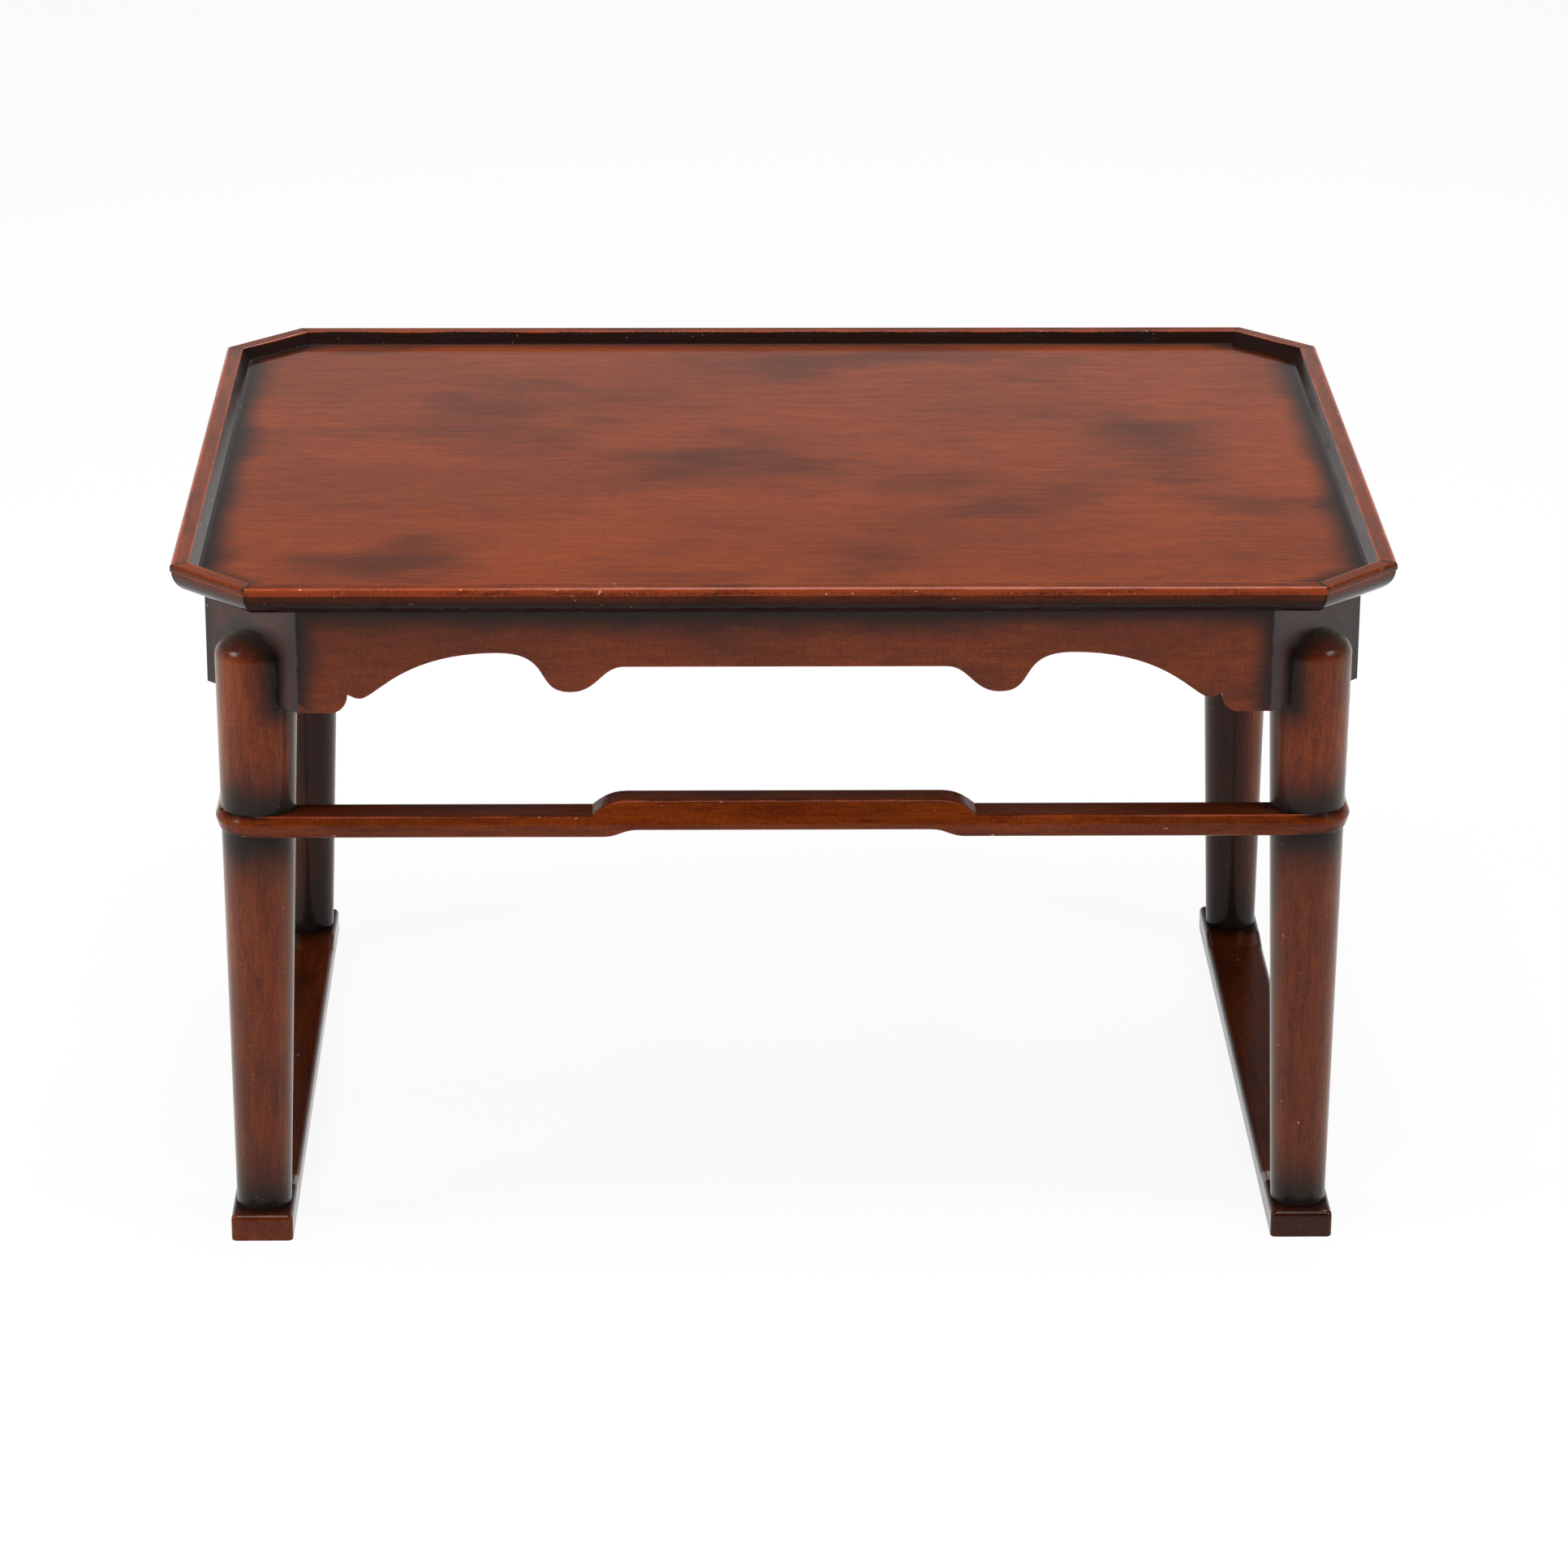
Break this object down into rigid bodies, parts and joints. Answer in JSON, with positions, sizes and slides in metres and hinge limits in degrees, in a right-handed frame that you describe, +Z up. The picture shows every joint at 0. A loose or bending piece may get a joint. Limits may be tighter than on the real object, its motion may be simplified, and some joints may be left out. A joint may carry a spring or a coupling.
{
  "type": "low tray table",
  "caption": "Low octagonal tray table in red-brown lacquered wood: mitred rim, cut apron, turned slotted legs, wrap-round stretchers and two foot rails.",
  "frame": {"origin": "floor level under the middle of the tray", "axes": "+X right along the long side, +Y to the rear, +Z up; the front is -Y"},
  "size_m": [0.455, 0.344, 0.269],
  "materials": {
    "lacquered_wood": "satin lacquer, shaded dark near the joints",
    "bamboo": "bare split bamboo"
  },
  "bodies": {
    "root": {"tray_panel": "lacquered_wood", "rim_front": "lacquered_wood", "rim_rear": "lacquered_wood", "rim_left": "lacquered_wood", "rim_right": "lacquered_wood", "rim_corner_front_left": "lacquered_wood", "rim_corner_front_right": "lacquered_wood", "rim_corner_rear_left": "lacquered_wood", "rim_corner_rear_right": "lacquered_wood", "apron_front": "lacquered_wood", "apron_rear": "lacquered_wood", "apron_left": "lacquered_wood", "apron_right": "lacquered_wood", "apron_corner_front_left": "lacquered_wood", "apron_corner_front_right": "lacquered_wood", "apron_corner_rear_left": "lacquered_wood", "apron_corner_rear_right": "lacquered_wood", "leg_front_left": "lacquered_wood", "leg_front_right": "lacquered_wood", "leg_rear_left": "lacquered_wood", "leg_rear_right": "lacquered_wood", "stretcher_front": "lacquered_wood", "stretcher_rear": "lacquered_wood", "stretcher_left": "lacquered_wood", "stretcher_right": "lacquered_wood", "foot_rail_left": "lacquered_wood", "foot_rail_right": "lacquered_wood", "leg_pins": "bamboo", "stretcher_pins": "bamboo", "rim_pins": "bamboo"}
  },
  "joints": []
}
